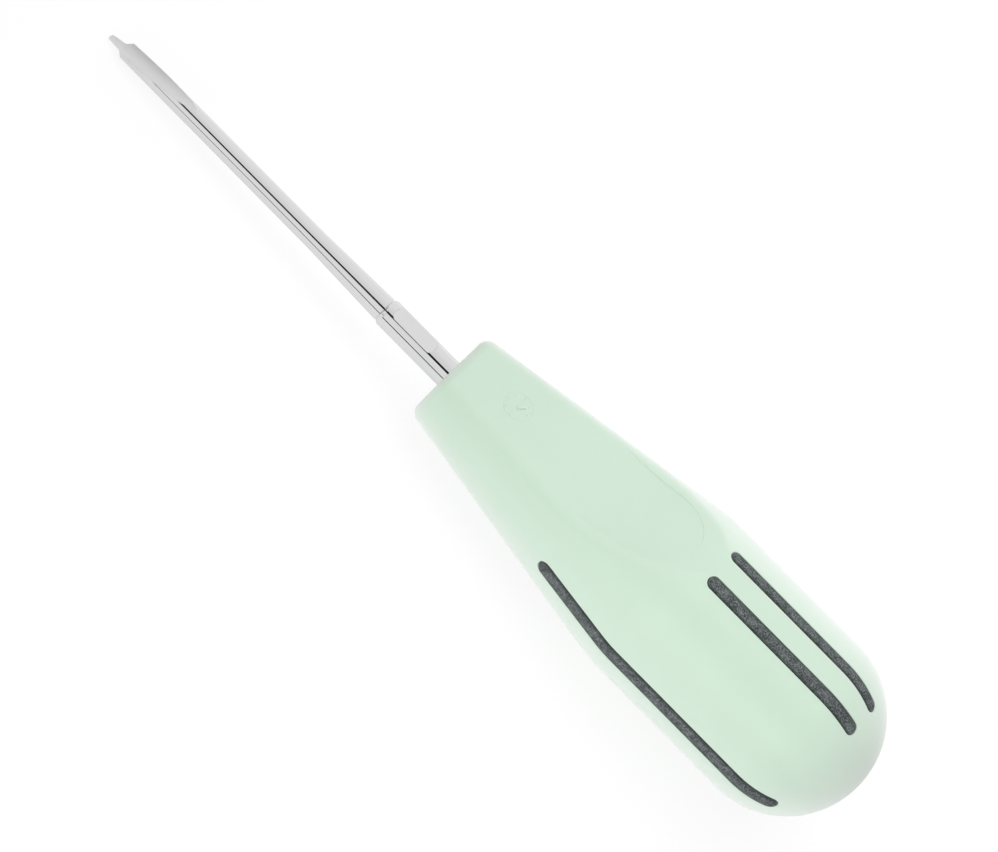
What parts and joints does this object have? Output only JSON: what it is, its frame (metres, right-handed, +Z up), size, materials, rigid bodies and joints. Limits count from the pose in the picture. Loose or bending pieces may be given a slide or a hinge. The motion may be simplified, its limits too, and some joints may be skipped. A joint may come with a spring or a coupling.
{
  "type": "periotome",
  "caption": "Hand-held dental periotome: fluted steel blade with a narrow tongue tip on a round shank, set in a pear-shaped moulded handle with thumb flats and soft grip strips.",
  "frame": {"origin": "centre of the bounding box's base, on the plane that the instrument lies on", "axes": "+X from the blade tip toward the domed end of the handle, as seen from above; +Z up, on the side of the upper thumb flat; +Y across the handle. The instrument's own axis rises about 6.5 degrees from the tip toward the dome."},
  "size_m": [0.1504, 0.029, 0.0311],
  "materials": {
    "steel": "polished stainless steel",
    "handle_plastic": "satin moulded plastic, pale mint green",
    "grip": "matte dark grey elastomer"
  },
  "bodies": {
    "root": {"blade_shank": "steel", "handle": "handle_plastic", "grip_strip_top_left": "grip", "grip_strip_top_right": "grip", "grip_strip_bottom_left": "grip", "grip_strip_bottom_right": "grip", "grip_strip_side_left": "grip", "grip_strip_side_right": "grip"}
  },
  "joints": []
}
